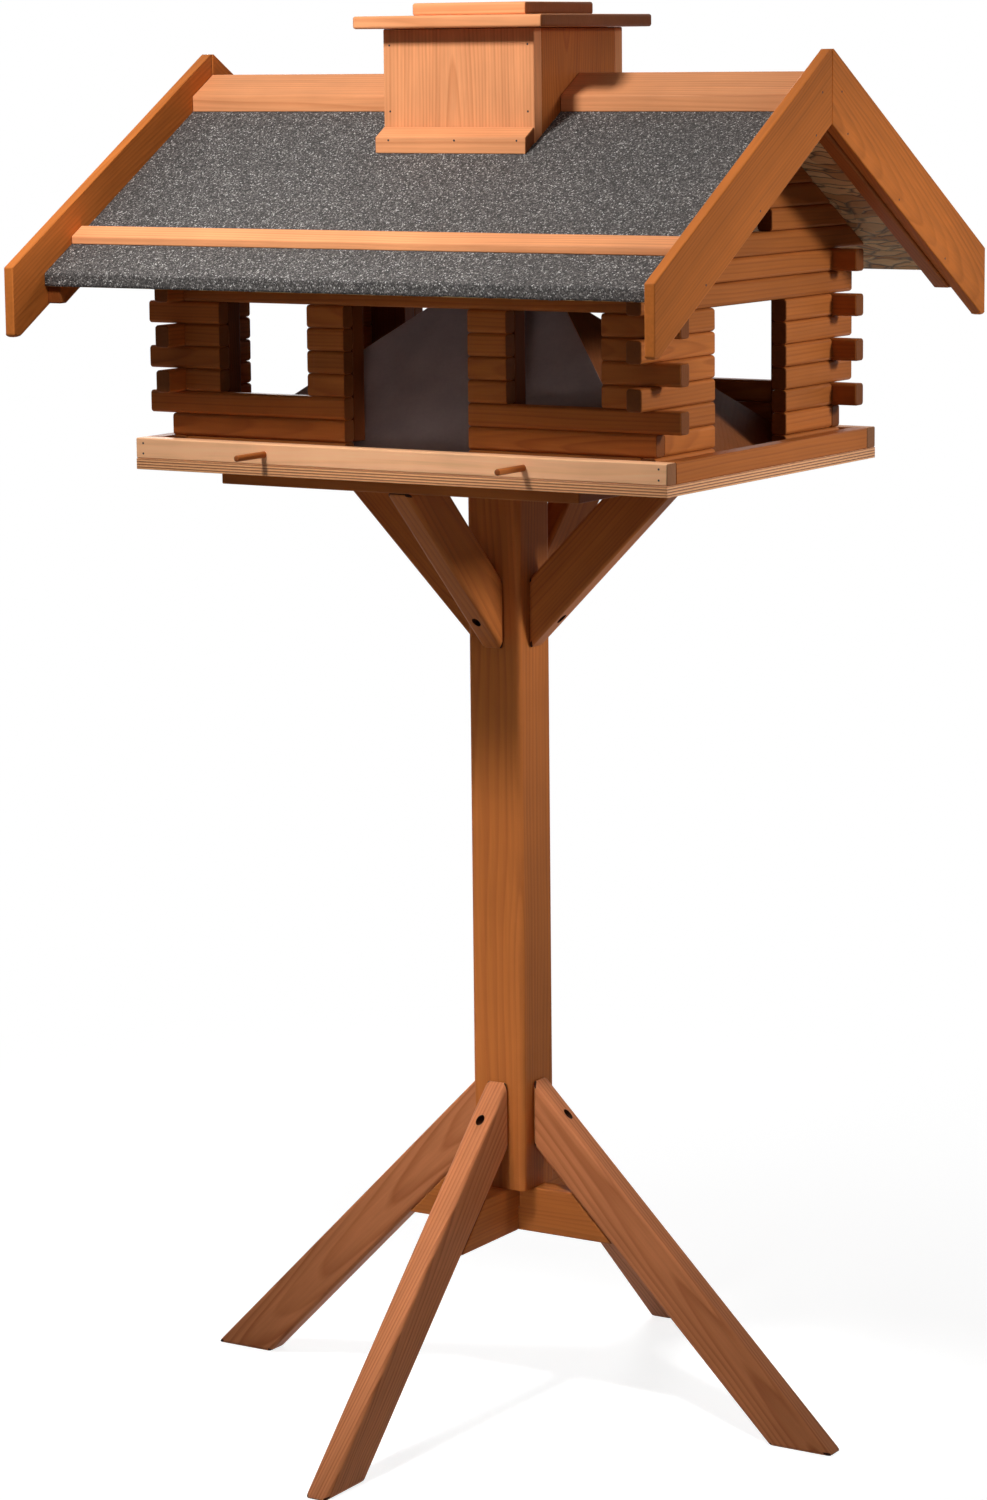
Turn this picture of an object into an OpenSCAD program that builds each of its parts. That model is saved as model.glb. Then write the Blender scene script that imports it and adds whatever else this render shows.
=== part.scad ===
// Wooden bird feeder: a small log house on a tray, carried by a post on four legs.
// Millimetres. The origin is on the ground under the middle of the post, and Z is up.
// X runs along the ridge of the roof, and the front of the house faces minus Y.

/* [Post and legs] */
// Width of the square post
post_w = 62; // [54:1:66]
// Radius of the post's rounded corners
post_round = 6; // [3:0.5:9]
// Height of the post's lower end above the ground
post_lift = 233; // [222:1:244]
// Length of the post
post_l = 744; // [700:1:800]
// Thickness of the legs, braces and cross boards
board_t = 26; // [22:1:30]
// Width of the boards that the legs are cut from
leg_w = 50; // [44:1:56]
// Distance from the middle of the post to the tip of a foot
leg_reach = 380; // [350:1:410]
// Width of the boards that the braces are cut from
brace_w = 51; // [46:1:56]
// Distance from the middle of the post to the outer end of a brace
brace_reach = 208; // [194:1:214]
// Height of the two cross boards under the post
cross_h = 48; // [40:1:56]

/* [Tray] */
// Distance by which the square plate under the tray stands out past the braces
plate_out = 0.5; // [0:0.5:6]
// Thickness of that plate
plate_t = 11; // [9:1:14]
// Width of the channel between the house walls and the rails
tray_channel = 9; // [6:1:14]
// Thickness of the tray's plywood floor
floor_t = 11; // [9:1:14]
// Height of the rails on the tray's edge
rail_h = 21; // [18:1:22]
// Thickness of the rails
rail_t = 18; // [16:1:20]
// Diameter of the perch pegs
peg_d = 6.5; // [5:0.5:8]
// Length of a perch peg outside the rail
peg_out = 48; // [30:1:60]
// Length of a perch peg inside the rail
peg_in = 12; // [8:1:14]
// Distance between the two perch pegs
peg_pitch = 302; // [200:1:400]

/* [House] */
// Length of the log house along the ridge, without the crossing log ends
house_l = 564; // [520:1:610]
// Depth of the log house, without the crossing log ends
house_d = 378; // [350:1:410]
// Height of one log
log_h = 22.6; // [22:0.1:23]
// Thickness of a log
log_t = 17; // [15:0.5:19]
// Length by which the crossing log ends stick out at the corners
log_out = 27; // [20:1:30]
// Size of the bevel along the edges of a log
log_bevel = 2.2; // [1:0.1:3]
// Open joint between a log and the one above it
log_joint = 0.2; // [0.1:0.1:0.4]
// Width of the doorways in the front and back walls
door_w = 144; // [130:1:150]
// Width of the wall pier beside a doorway
pier_w = 44; // [38:1:50]
// Width of the wall at a corner, beside a window
corner_w = 60; // [50:1:70]
// Width of the doorways in the end walls
end_door_w = 146; // [130:1:160]
// Width of the vent in the gable
vent_w = 86; // [60:1:100]
// Thickness of the battens that hold the short logs from inside
batten_t = 20; // [14:1:20]

/* [Seed spreader] */
// Height of the spreader's ridge above the tray floor
spread_h = 163; // [150:1:175]
// Length of the spreader's ridge
spread_ridge = 124; // [100:1:135]
// Thickness of the spreader's panels
spread_t = 4; // [3:0.5:5]
// Gap between the spreader's foot and the house walls
spread_gap = 1; // [0.5:0.5:3]

/* [Roof] */
// Pitch of the roof in degrees
pitch = 31; // [30:0.5:32]
// Distance by which the foot of the lowest gable log stands out past the house wall
gable_out = 57; // [52:1:62]
// Distance by which the roof stands out past an end wall, with its barge board
roof_out = 88; // [80:1:100]
// Distance by which a roof panel's eave edge stands out past the house wall
eave_out = 102; // [98:1:108]
// Thickness of the roof panels
panel_t = 10; // [8:0.5:12]
// Thickness of the roofing felt
felt_t = 2.5; // [2:0.5:4]
// Height of the felt's turned down lip at the eave
felt_lip = 9; // [6:1:12]
// Open joint where two boards meet at the ridge
mitre_gap = 0.2; // [0.1:0.1:0.4]
// Thickness of the barge boards
barge_t = 11; // [10:1:14]
// Width of the barge boards
barge_w = 63; // [57:1:68]
// Depth of the barge board's lower edge under the roof panel
barge_drop = 17; // [13:1:18]
// Distance by which a barge board's end stands out past the eave edge
barge_out = 54; // [44:1:62]
// Width of the level cut under the barge board's end
barge_foot = 8; // [4:1:12]
// Width of the level cut at the barge board's upper end
barge_flat = 3.5; // [2:0.5:6]
// Thickness of the rafters inside the barge boards
rafter_t = 16; // [14:1:20]
// Height of those rafters, square to the slope
rafter_w = 20; // [18:1:24]
// Distance from a rafter's end to the eave edge
rafter_back = 1; // [1:1:10]
// Length of the level cut under a rafter's end
rafter_cut = 10; // [6:1:24]
// Thickness of the ridge boards and chimney skirts
ridge_t = 14; // [10:1:16]
// Distance that a ridge board covers from the ridge, measured level
ridge_w = 37; // [30:1:42]
// Width of a lath on the felt
lath_w = 20; // [15:1:25]
// Thickness of a lath
lath_t = 7; // [5:1:9]
// Distance from the outer edge of a lath to the eave edge, measured level
lath_back = 42; // [26:1:60]

/* [Chimney and lid] */
// Width of the chimney along the ridge
chimney_l = 176; // [160:1:190]
// Depth of the chimney across the ridge
chimney_d = 172; // [160:1:180]
// Thickness of the chimney boards
chimney_t = 15; // [12:1:18]
// Height of the chimney's top above the underside of the roof panels
chimney_up = 75; // [60:1:100]
// Gap between the chimney's lower end and the spreader's ridge
chimney_gap = 3.2; // [2:0.2:12]
// Gap between the chimney and the hole for it in the roof
roof_gap = 0.3; // [0.2:0.1:1]
// Width of the skirt board against the chimney, measured level
skirt_w = 17; // [12:1:24]
// Distance by which the lid stands out past the chimney
lid_out = 22; // [12:1:30]
// Thickness of the lid and of the small plate on it
lid_t = 12.5; // [10:0.5:15]
// Length of the small plate on the lid
cap_l = 133; // [100:1:150]
// Depth of the small plate on the lid
cap_d = 131; // [100:1:150]
// Gap between the chimney's top and the lid, which isn't fastened to it
lid_gap = 0.2; // [0.1:0.1:1]
// Height of the block under the lid that sits in the chimney
block_h = 12; // [8:1:20]
// Gap between that block and the chimney boards
block_gap = 1.5; // [1:0.5:3]

/* [Fasteners] */
// Shank diameter of the long screws
screw_d = 5; // [4:0.5:6]
// Head diameter of the long screws
head_d = 8.4; // [8:0.2:9]
// Head height of the screws
head_h = 3; // [2:0.5:4]
// Gap all round a long screw's head in its sunk hole
sink_gap = 0.3; // [0.2:0.1:1]
// Wood between the post and the head of a leg or brace screw
screw_grip = 18; // [14:1:22]
// Depth of the long screws in the post
screw_bite = 22; // [14:1:22]
// Height of the brace screws above the lower end of the braces
brace_screw_up = 32; // [28:1:36]
// Wood between the cross screw's head and the post
cross_grip = 29; // [27:1:34]
// Depth of the cross screw in the post
cross_bite = 30; // [20:1:40]
// Depth of the plate's long screws in the post and braces
plate_bite = 26; // [18:1:28]
// Gap all round a screw in its hole
screw_gap = 0.2; // [0.1:0.1:0.3]
// Shank diameter of the short tray screws
small_d = 4; // [3:0.5:4.5]
// Head diameter of the short tray screws
small_head = 7.5; // [6.5:0.5:8.5]
// Depth of the short tray screws in the tray floor
small_bite = 8; // [6:1:8]
// Distance of the tray screws from the middle of the plate
small_at = 160; // [140:1:180]
// Diameter of the brads
brad_d = 2.2; // [1.6:0.2:2.8]
// Depth of the brads in the wood behind a barge board
brad_bite = 11; // [8:1:13]

/* [Hidden] */
$fn = 48;

stain = "#a5602f";
stain_light = "#c98547";
ply = "#d9a766";
felt_grey = "#6b6966";
slate = "#5d5558";
steel = "#8d8f92";

// Legs and braces lie at 45 degrees, so a board's level width is its width times root two
leg_level = leg_w * sqrt(2);
brace_level = brace_w * sqrt(2);
post_half = post_w / 2;
post_top = post_lift + post_l;
// A line at 45 degrees: height plus distance from the post's axis is constant
leg_under = leg_reach - leg_level;
leg_screw_z = leg_reach - post_half - leg_level / 2;
brace_foot_z = post_top - brace_reach + post_half;
brace_screw_z = brace_foot_z + brace_screw_up;

// Heights and sizes of the tray
plate_w = 2 * (brace_reach + plate_out);
tray_l = house_l + 2 * (tray_channel + rail_t);
tray_d = house_d + 2 * (tray_channel + rail_t);
floor_z = post_top + plate_t;
floor_top = floor_z + floor_t;
rail_top = floor_top + rail_h;
peg_z = floor_top + rail_h / 2;

// Courses of logs, counted from the tray floor
sill_count = 3;
window_count = 4;
header_count = 2;
gable_count = 6;
header_first = sill_count + window_count;
gable_first = header_first + header_count;
gable_last = gable_first + gable_count - 1;
vent_course = gable_first + 1;
sill_courses = [0 : sill_count - 1];
window_courses = [sill_count : header_first - 1];
jamb_courses = [0 : header_first - 1];
header_courses = [header_first : gable_first - 1];
function course_z(k) = floor_top + k * log_h;
// The lowest two courses are flush at the corners, and the others cross by turns
function wall_reach(half, k, passes) = !passes ? half - log_t : k < 2 ? half : half + log_out;
function long_reach(k) = wall_reach(house_l / 2, k, k == 1 || (k > 1 && k % 2 == 0));
function end_reach(k) = wall_reach(house_d / 2, k, k == 0 || (k > 1 && k % 2 == 1));
pier_end = door_w / 2 + pier_w;
window_end = house_l / 2 - corner_w;
long_in = house_l / 2 - log_t;
end_in = house_d / 2 - log_t;

// Roof lines: a height at the ridge, which falls by slope for each millimetre outwards
slope = tan(pitch);
upright = 1 / cos(pitch);
gable_reach = house_d / 2 + gable_out;
eave_reach = house_d / 2 + eave_out;
barge_reach = eave_reach + barge_out;
rafter_reach = eave_reach - rafter_back;
lath_reach = eave_reach - lath_back;
roof_l = house_l + 2 * roof_out;
under_z = course_z(gable_first) + gable_reach * slope;
panel_z = under_z + panel_t * upright;
felt_z = panel_z + felt_t * upright;
barge_z = under_z - barge_drop * upright;
barge_top_z = barge_z + barge_w * upright;
rafter_z = under_z - rafter_w * upright;
roof_in = roof_l / 2 - barge_t;

// Chimney
chimney_top = under_z + chimney_up;
chimney_low = floor_top + spread_h + chimney_gap;
chimney_x = chimney_l / 2;
chimney_y = chimney_d / 2;
lid_z = chimney_top + lid_gap;
shaft_x = chimney_x - chimney_t;
shaft_y = chimney_y - chimney_t;
lid_l = chimney_l + 2 * lid_out;
lid_d = chimney_d + 2 * lid_out;

// Brads: length, distances from the ridge, depths under the chimney's top, and shares of a row
brad_l = barge_t + brad_bite;
barge_brads = [33, 145, 250];
ridge_brad = 20;
rail_shares = [1 / 4, 3 / 4];
chimney_brads = [16, 81];
skirt_shares = [-0.41, 0.03, 0.44];

// Places of a copy on each of the four sides of the post, front first
module on_side(angle) { rotate([0, 0, angle]) children(); }
front_angle = -90;
right_angle = 0;
back_angle = 90;
left_angle = 180;

// A flat board of the given outline, standing in the plane of X and Z
module standing_board(outline) {
    rotate([90, 0, 0]) translate([0, 0, -board_t / 2]) linear_extrude(board_t) polygon(outline);
}

// One long screw that points to minus X, with its head's underside at the given distance
module long_screw(at, z, l) {
    translate([at, 0, z]) rotate([0, -90, 0]) cylinder(h = l, d = screw_d);
    translate([at, 0, z]) rotate([0, 90, 0]) cylinder(h = head_h, d = head_d);
}

// Hole for that screw: a sunk part outside the head and a drilled part inside it
module long_screw_hole(at, z, l) {
    translate([at, 0, z]) rotate([0, 90, 0]) cylinder(h = 2 * leg_w, d = sink_d);
    translate([at + 1, 0, z]) rotate([0, -90, 0]) cylinder(h = l + 1, d = screw_d + 2 * screw_gap);
}

// One screw that points up, with the underside of its head at the given height
module up_screw(z, l, d, head) {
    translate([0, 0, z]) cylinder(h = l, d = d);
    translate([0, 0, z - head_h]) cylinder(h = head_h, d = head);
}

// Hole for an upright screw, with the sunk part below
module up_screw_hole(z, l, d, head, sink) {
    translate([0, 0, z - sink]) cylinder(h = sink, d = head + 2 * screw_gap);
    translate([0, 0, z - 1]) cylinder(h = l + 1, d = d + 2 * screw_gap);
}

sink_d = head_d + 2 * sink_gap;
screw_at = post_half + screw_grip;
screw_l = screw_grip + screw_bite;

module stand_screw_holes(angle) {
    on_side(angle) long_screw_hole(screw_at, leg_screw_z, screw_l);
    on_side(angle) long_screw_hole(screw_at, brace_screw_z, screw_l);
}

// Plate screws go down into the braces and the post, so they are upright screws turned over
plate_screw_at = brace_reach - brace_level / 2;
plate_screw_places = [[0, 0], [plate_screw_at, 0], [-plate_screw_at, 0], [0, plate_screw_at],
    [0, -plate_screw_at]];
plate_screw_z = floor_z - head_h;
plate_screw_l = plate_t - head_h + plate_bite;

module plate_screw_holes() {
    for (p = plate_screw_places) translate([p[0], p[1], plate_screw_z]) rotate([180, 0, 0])
        up_screw_hole(0, plate_screw_l, screw_d, head_d, head_h);
}

module tray_screw_places() {
    for (x = [-small_at, small_at], y = [-small_at, small_at]) translate([x, y, 0]) children();
}
tray_screw_z = post_top + head_h;
tray_screw_l = plate_t - head_h + small_bite;

module tray_screw_holes() {
    tray_screw_places() up_screw_hole(tray_screw_z, tray_screw_l, small_d, small_head, head_h);
}

// The cross screw goes up through the lap of the cross boards into the post
cross_screw_z = post_lift - cross_grip;
cross_screw_l = cross_grip + cross_bite;

module cross_screw_hole() {
    up_screw_hole(cross_screw_z, cross_screw_l, screw_d, head_d, cross_h);
}

// Square post with rounded corners
module post() {
    inner = post_w - 2 * post_round;
    color(stain) difference() {
        translate([0, 0, post_lift]) linear_extrude(post_l) union() {
            square([post_w, inner], center = true);
            square([inner, post_w], center = true);
            for (x = [-inner / 2, inner / 2], y = [-inner / 2, inner / 2])
                translate([x, y]) circle(r = post_round);
        }
        for (a = [0, 90, 180, 270]) stand_screw_holes(a);
        plate_screw_holes();
        cross_screw_hole();
    }
}

module leg(angle) {
    color(stain) difference() {
        on_side(angle) standing_board([
            [post_half, leg_reach - post_half], [leg_reach, 0],
            [leg_under, 0], [post_half, leg_under - post_half]]);
        stand_screw_holes(angle);
    }
}

module brace(angle) {
    color(stain) difference() {
        on_side(angle) standing_board([
            [post_half, brace_foot_z], [post_half, brace_foot_z + brace_level],
            [brace_reach - brace_level, post_top], [brace_reach, post_top]]);
        stand_screw_holes(angle);
        plate_screw_holes();
    }
}

// Cross boards: their ends bear on the undersides of two legs, and they lap in the middle
module cross_board(angle, lap_z) {
    top = leg_under - post_lift;
    color(stain) difference() {
        on_side(angle) standing_board([
            [top, post_lift], [top + cross_h, post_lift - cross_h],
            [-top - cross_h, post_lift - cross_h], [-top, post_lift]]);
        translate([-board_t / 2, -board_t / 2, lap_z]) cube([board_t, board_t, cross_h / 2]);
        cross_screw_hole();
    }
}
module cross_board_x() { cross_board(0, post_lift - cross_h / 2); }
module cross_board_y() { cross_board(90, post_lift - cross_h); }

module stand_screws() {
    color(steel) for (a = [0, 90, 180, 270]) on_side(a) {
        long_screw(screw_at, leg_screw_z, screw_l);
        long_screw(screw_at, brace_screw_z, screw_l);
    }
}
module cross_screw() { color(steel) up_screw(cross_screw_z, cross_screw_l, screw_d, head_d); }

module tray_plate() {
    color(stain) difference() {
        translate([-plate_w / 2, -plate_w / 2, post_top]) cube([plate_w, plate_w, plate_t]);
        plate_screw_holes();
        tray_screw_holes();
    }
}
module plate_screws() {
    color(steel) for (p = plate_screw_places) translate([p[0], p[1], plate_screw_z])
        rotate([180, 0, 0]) up_screw(0, plate_screw_l, screw_d, head_d);
}
module tray_screws() {
    color(steel) tray_screw_places() up_screw(tray_screw_z, tray_screw_l, small_d, small_head);
}

module tray_floor() {
    color(ply) difference() {
        translate([-tray_l / 2, -tray_d / 2, floor_z]) cube([tray_l, tray_d, floor_t]);
        tray_screw_holes();
    }
}

// Brads go through the long rails into the ends of the side rails, and lie along Y
module tray_brad_set() {
    for (sx = [-1, 1], sy = [-1, 1], at = rail_shares)
        translate([sx * (tray_l / 2 - rail_t / 2), sy * tray_d / 2, floor_top + rail_h * at])
            rotate([sy * 90, 0, 0]) cylinder(h = brad_l, d = brad_d);
}
module tray_brads() { color(steel) tray_brad_set(); }

module peg(x) {
    color(stain_light) translate([x, -tray_d / 2 - peg_out, peg_z]) rotate([-90, 0, 0])
        cylinder(h = peg_out + peg_in, d = peg_d);
}
module left_peg() { peg(-peg_pitch / 2); }
module right_peg() { peg(peg_pitch / 2); }

// Rail along X on the front or back edge of the tray floor
module long_rail(side) {
    y = side < 0 ? -tray_d / 2 : tray_d / 2 - rail_t;
    color(stain_light) difference() {
        translate([-tray_l / 2, y, floor_top]) cube([tray_l, rail_t, rail_h]);
        tray_brad_set();
        peg(-peg_pitch / 2);
        peg(peg_pitch / 2);
    }
}
module side_rail(side) {
    x = side < 0 ? -tray_l / 2 : tray_l / 2 - rail_t;
    color(stain_light) difference() {
        translate([x, rail_t - tray_d / 2, floor_top]) cube([rail_t, tray_d - 2 * rail_t, rail_h]);
        tray_brad_set();
    }
}
module front_rail() { long_rail(-1); }
module back_rail() { long_rail(1); }
module left_rail() { side_rail(-1); }
module right_rail() { side_rail(1); }

// End view of a log: a rectangle with bevelled corners, its foot at zero
module log_profile(h = log_h - log_joint) {
    w = log_t / 2;
    b = log_bevel;
    polygon([[-w, b], [b - w, 0], [w - b, 0], [w, b], [w, h - b], [w - b, h], [b - w, h], [-w, h - b]]);
}
// Log along X in the front wall, from x0 to x1 on the given course
module log_x(x0, x1, k) {
    translate([x0, log_t / 2 - house_d / 2, course_z(k)]) rotate([90, 0, 90])
        linear_extrude(x1 - x0) log_profile();
}
// Log along Y in the right end wall, from y0 to y1 on the given course
module log_y(y0, y1, k, h = log_h - log_joint) {
    translate([house_l / 2 - log_t / 2, y1, course_z(k)]) rotate([90, 0, 0])
        linear_extrude(y1 - y0) log_profile(h);
}
module both_ways_x() { children(); mirror([1, 0, 0]) children(); }
module both_ways_y() { children(); mirror([0, 1, 0]) children(); }

module sill_logs() {
    color(stain) both_ways_x() for (k = sill_courses) log_x(door_w / 2, long_reach(k), k);
}
module corner_logs() {
    color(stain) both_ways_x() for (k = window_courses) log_x(window_end, long_reach(k), k);
}
module pier_logs() {
    color(stain) both_ways_x() for (k = window_courses) log_x(door_w / 2, pier_end, k);
}
module header_logs() {
    color(stain) for (k = header_courses) log_x(-long_reach(k), long_reach(k), k);
}
module front_sill_logs() { sill_logs(); }
module front_corner_logs() { corner_logs(); }
module front_pier_logs() { pier_logs(); }
module front_header_logs() { header_logs(); }
module back_sill_logs() { mirror([0, 1, 0]) sill_logs(); }
module back_corner_logs() { mirror([0, 1, 0]) corner_logs(); }
module back_pier_logs() { mirror([0, 1, 0]) pier_logs(); }
module back_header_logs() { mirror([0, 1, 0]) header_logs(); }

module jamb_logs() {
    color(stain) both_ways_y() for (k = jamb_courses) log_y(end_door_w / 2, end_reach(k), k);
}
module end_header_logs() {
    color(stain) for (k = header_courses) log_y(-end_reach(k), end_reach(k), k);
}
// Gable logs are cut to the roof's slope, and the top one fills the point
module gable_logs() {
    reach = 2 * gable_reach;
    color(stain) intersection() {
        union() {
            for (k = [gable_first:gable_last]) {
                full = k == gable_last ? under_z + log_h - course_z(k) : log_h;
                h = full - log_joint;
                if (k == vent_course) both_ways_y() log_y(vent_w / 2, reach, k, h);
                else log_y(-reach, reach, k, h);
            }
        }
        rotate([90, 0, 90]) linear_extrude(house_l)
            polygon([[-reach, under_z - reach * slope], [reach, under_z - reach * slope], [0, under_z]]);
    }
}
module right_jamb_logs() { jamb_logs(); }
module right_header_logs() { end_header_logs(); }
module right_gable_logs() { gable_logs(); }
module left_jamb_logs() { mirror([1, 0, 0]) jamb_logs(); }
module left_header_logs() { mirror([1, 0, 0]) end_header_logs(); }
module left_gable_logs() { mirror([1, 0, 0]) gable_logs(); }

// Battens stand on the spreader's side of the wall, from the second course to the first header
module batten(x0, x1) {
    z0 = course_z(1);
    translate([x0, -end_in, z0]) cube([x1 - x0, batten_t, course_z(header_first + 1) - z0]);
}
module pier_battens() { color(stain) both_ways_y() both_ways_x() batten(door_w / 2, pier_end); }
module corner_battens() { color(stain) both_ways_y() both_ways_x() batten(window_end, long_in); }

// Hipped spreader: four mitred panels between an outer and an inner tent of the same slopes
spread_x = long_in - spread_gap;
spread_y = end_in - spread_gap;
spread_kx = (spread_x - spread_ridge / 2) / spread_h;
spread_ky = spread_y / spread_h;
spread_in_x = spread_x - spread_t * sqrt(1 + spread_kx * spread_kx);
spread_in_y = spread_y - spread_t * sqrt(1 + spread_ky * spread_ky);
spread_in_h = spread_in_y / spread_ky;
spread_in_ridge = spread_in_x - spread_in_h * spread_kx;

module spreader_face() {
    polyhedron(points = [
            [-spread_x, -spread_y, 0], [spread_x, -spread_y, 0],
            [spread_ridge / 2, 0, spread_h], [-spread_ridge / 2, 0, spread_h],
            [-spread_in_x, -spread_in_y, 0], [spread_in_x, -spread_in_y, 0],
            [spread_in_ridge, 0, spread_in_h], [-spread_in_ridge, 0, spread_in_h]],
        faces = [[3, 2, 1, 0], [4, 5, 6, 7], [0, 1, 5, 4], [1, 2, 6, 5], [2, 3, 7, 6], [3, 0, 4, 7]]);
}
module spreader_end() {
    polyhedron(points = [
            [spread_x, -spread_y, 0], [spread_x, spread_y, 0], [spread_ridge / 2, 0, spread_h],
            [spread_in_x, -spread_in_y, 0], [spread_in_x, spread_in_y, 0],
            [spread_in_ridge, 0, spread_in_h]],
        faces = [[2, 1, 0], [3, 4, 5], [0, 1, 4, 3], [1, 2, 5, 4], [2, 0, 3, 5]]);
}
module spreader_faces() {
    color(slate) translate([0, 0, floor_top]) both_ways_y()
        translate([0, -mitre_gap / 2, 0]) spreader_face();
}
module spreader_ends() {
    color(stain) translate([0, 0, floor_top]) both_ways_x() spreader_end();
}

// A front piece of the roof: its end view in distance from the ridge and height, along X
module roof_piece(x0, x1, outline) {
    mirror([0, 1, 0]) translate([x0, 0, 0]) rotate([90, 0, 90]) linear_extrude(x1 - x0)
        polygon(outline);
}
// End view of a strip on a roof plane, from reach y0 to y1, with upright edges
function strip(y0, y1, z, t) = [[y0, z - y0 * slope], [y1, z - y1 * slope],
    [y1, z - y1 * slope + t * upright], [y0, z - y0 * slope + t * upright]];

module chimney_hole() {
    translate([-chimney_x - roof_gap, -chimney_y - roof_gap, chimney_low])
        cube([chimney_l + 2 * roof_gap, chimney_d + 2 * roof_gap, chimney_top - chimney_low]);
}
module roof_panel() {
    color(ply) difference() {
        roof_piece(-roof_in, roof_in, strip(0, eave_reach, under_z, panel_t));
        chimney_hole();
    }
}
module felt() {
    out = eave_reach + felt_t;
    lip_z = felt_z - out * slope - felt_lip;
    color(felt_grey) difference() {
        roof_piece(-roof_in, roof_in, [[0, panel_z], [eave_reach, panel_z - eave_reach * slope],
            [eave_reach, lip_z], [out, lip_z], [out, felt_z - out * slope], [0, felt_z]]);
        chimney_hole();
    }
}
module ridge_boards() {
    color(stain_light) difference() {
        both_ways_x() roof_piece(chimney_x, roof_in, strip(0, ridge_w, felt_z, ridge_t));
        roof_brad_set();
    }
}
module front_roof_panel() { roof_panel(); }
module back_roof_panel() { mirror([0, 1, 0]) roof_panel(); }
module front_felt() { felt(); }
module back_felt() { mirror([0, 1, 0]) felt(); }
module front_ridge_boards() { ridge_boards(); }
module back_ridge_boards() { mirror([0, 1, 0]) ridge_boards(); }
module roof_laths() {
    inner = lath_reach - lath_w / upright;
    color(stain_light) both_ways_y()
        roof_piece(-roof_in, roof_in, strip(inner, lath_reach, felt_z, lath_t));
}

// Barge board on the right gable's front slope
module barge_board() {
    top = mitre_gap / 2;
    foot = barge_reach - barge_foot;
    foot_z = barge_z - foot * slope;
    roof_piece(roof_in, roof_in + barge_t, [[top, barge_z - top * slope], [foot, foot_z],
        [barge_reach, foot_z], [barge_reach, barge_top_z - barge_reach * slope],
        [barge_flat, barge_top_z - barge_flat * slope],
        [top, barge_top_z - barge_flat * slope]]);
}
module barge_boards() {
    color(stain_light) difference() {
        both_ways_y() barge_board();
        roof_brad_set();
    }
}
module right_barge_boards() { barge_boards(); }
module left_barge_boards() { mirror([1, 0, 0]) barge_boards(); }

module rafter() {
    top = mitre_gap / 2;
    cut = rafter_reach - rafter_cut;
    cut_z = rafter_z - cut * slope;
    roof_piece(roof_in - rafter_t, roof_in, [[top, rafter_z - top * slope], [cut, cut_z],
        [rafter_reach, cut_z], [rafter_reach, under_z - rafter_reach * slope],
        [top, under_z - top * slope]]);
}
module gable_rafters() {
    color(stain) difference() {
        both_ways_x() both_ways_y() rafter();
        roof_brad_set();
    }
}

// Brads through the barge boards: three into each rafter and one into each ridge board
module barge_brad(y, z) {
    translate([roof_l / 2, -y, z - y * slope]) rotate([0, -90, 0]) cylinder(h = brad_l, d = brad_d);
}
rafter_brad_z = (under_z + barge_z) / 2;
ridge_brad_z = felt_z + ridge_t * upright / 2;

// Brads through the wide chimney boards and the skirts, which lie along Y
module chimney_brad(x, y, z) {
    translate([x, -y, z]) rotate([-90, 0, 0]) cylinder(h = brad_l, d = brad_d);
}
skirt_brad_z = felt_z - (chimney_y + skirt_w / 2) * slope + ridge_t * upright / 2;
chimney_brad_x = chimney_x - chimney_t / 2;

module roof_brad_set() {
    both_ways_x() both_ways_y() {
        for (y = barge_brads) barge_brad(y, rafter_brad_z);
        barge_brad(ridge_brad, ridge_brad_z);
        for (down = chimney_brads) chimney_brad(chimney_brad_x, chimney_y, chimney_top - down);
    }
    both_ways_y() for (share = skirt_shares)
        chimney_brad(share * chimney_l, chimney_y + skirt_w, skirt_brad_z);
}
module roof_brads() { color(steel) roof_brad_set(); }

module chimney_wide_board() {
    color(stain_light) difference() {
        translate([-chimney_x, -chimney_y, chimney_low])
            cube([chimney_l, chimney_t, chimney_top - chimney_low]);
        roof_brad_set();
    }
}
module chimney_front_board() { chimney_wide_board(); }
module chimney_back_board() { mirror([0, 1, 0]) chimney_wide_board(); }
module chimney_side_boards() {
    color(stain_light) difference() {
        both_ways_x() translate([shaft_x, -shaft_y, chimney_low])
            cube([chimney_t, 2 * shaft_y, chimney_top - chimney_low]);
        roof_brad_set();
    }
}
module chimney_skirts() {
    color(stain_light) difference() {
        both_ways_y() roof_piece(-chimney_x, chimney_x,
            strip(chimney_y, chimney_y + skirt_w, felt_z, ridge_t));
        roof_brad_set();
    }
}

// Lid: it lies on the chimney's top, and its block keeps it from sliding off
module lid_plate() {
    color(stain_light) translate([-lid_l / 2, -lid_d / 2, lid_z]) cube([lid_l, lid_d, lid_t]);
}
module lid_top_plate() {
    color(stain_light) translate([-cap_l / 2, -cap_d / 2, lid_z + lid_t])
        cube([cap_l, cap_d, lid_t]);
}
module lid_block() {
    x = shaft_x - block_gap;
    y = shaft_y - block_gap;
    color(stain) translate([-x, -y, lid_z - block_h]) cube([2 * x, 2 * y, block_h]);
}

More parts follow.
